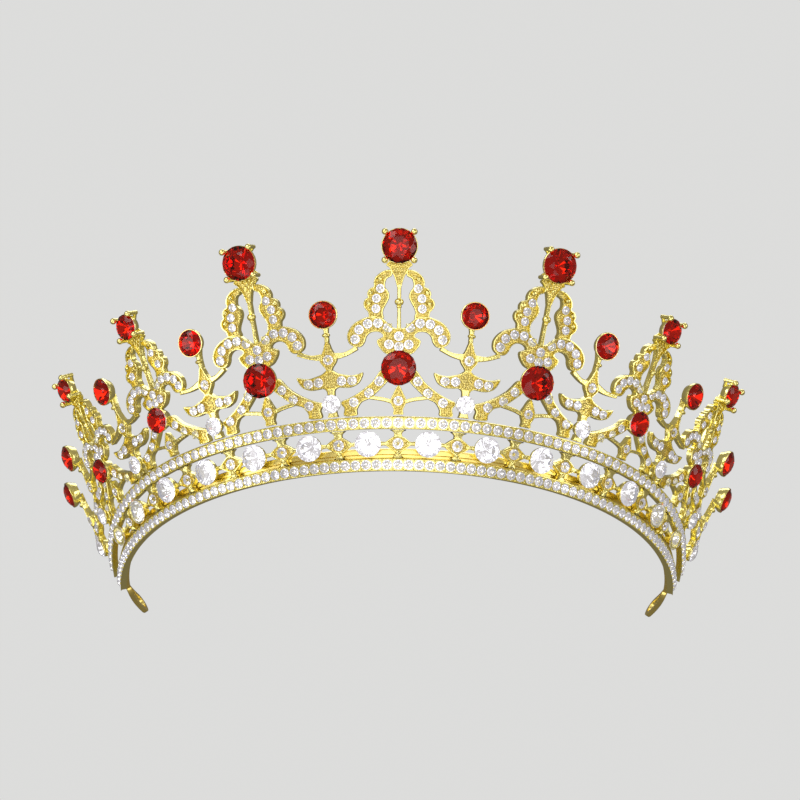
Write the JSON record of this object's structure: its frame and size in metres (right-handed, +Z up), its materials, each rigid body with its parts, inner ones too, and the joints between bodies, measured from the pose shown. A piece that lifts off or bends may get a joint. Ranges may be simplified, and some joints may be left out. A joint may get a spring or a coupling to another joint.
{
  "type": "crown",
  "caption": "Open-backed gold crown that flares outwards, a jewelled band under tall fleur and sprig castings set with clear and red stones, on a flat headband with end eyelets.",
  "frame": {"origin": "under the middle of the crown's box, in the plane that its lower rail stands on", "axes": "+X to the crown's left-hand side as worn seen from the front, that is to the right of a viewer in front, +Y towards the open back, +Z up"},
  "size_m": [0.1718, 0.12, 0.0509],
  "materials": {
    "cast_gold": "bright gold plate over cast metal",
    "headband_gold": "bright gold plate over rolled strip",
    "clear_stone": "polished faceted clear glass",
    "red_stone": "polished faceted red glass"
  },
  "bodies": {
    "root": {"band_lattice": "cast_gold", "clear_stone_left_1": "clear_stone", "clear_stone_left_2": "clear_stone", "clear_stone_left_3": "clear_stone", "clear_stone_left_4": "clear_stone", "clear_stone_left_5": "clear_stone", "clear_stone_left_6": "clear_stone", "clear_stone_left_7": "clear_stone", "clear_stone_right_1": "clear_stone", "clear_stone_right_2": "clear_stone", "clear_stone_right_3": "clear_stone", "clear_stone_right_4": "clear_stone", "clear_stone_right_5": "clear_stone", "clear_stone_right_6": "clear_stone", "clear_stone_right_7": "clear_stone", "fleur_centre": "cast_gold", "fleur_left_1": "cast_gold", "fleur_left_2": "cast_gold", "fleur_left_3": "cast_gold", "fleur_right_1": "cast_gold", "fleur_right_2": "cast_gold", "fleur_right_3": "cast_gold", "headband": "headband_gold", "lower_rail": "cast_gold", "red_flower_left_1": "red_stone", "red_flower_left_2": "red_stone", "red_flower_left_3": "red_stone", "red_flower_left_4": "red_stone", "red_flower_left_5": "red_stone", "red_flower_right_1": "red_stone", "red_flower_right_2": "red_stone", "red_flower_right_3": "red_stone", "red_flower_right_4": "red_stone", "red_flower_right_5": "red_stone", "red_low_centre": "red_stone", "red_low_left_1": "red_stone", "red_low_left_2": "red_stone", "red_low_left_3": "red_stone", "red_low_right_1": "red_stone", "red_low_right_2": "red_stone", "red_low_right_3": "red_stone", "red_top_centre": "red_stone", "red_top_left_1": "red_stone", "red_top_left_2": "red_stone", "red_top_left_3": "red_stone", "red_top_right_1": "red_stone", "red_top_right_2": "red_stone", "red_top_right_3": "red_stone", "sprig_left_1": "cast_gold", "sprig_left_2": "cast_gold", "sprig_left_3": "cast_gold", "sprig_left_4": "cast_gold", "sprig_left_5": "cast_gold", "sprig_right_1": "cast_gold", "sprig_right_2": "cast_gold", "sprig_right_3": "cast_gold", "sprig_right_4": "cast_gold", "sprig_right_5": "cast_gold", "upper_rail": "cast_gold"}
  },
  "joints": []
}
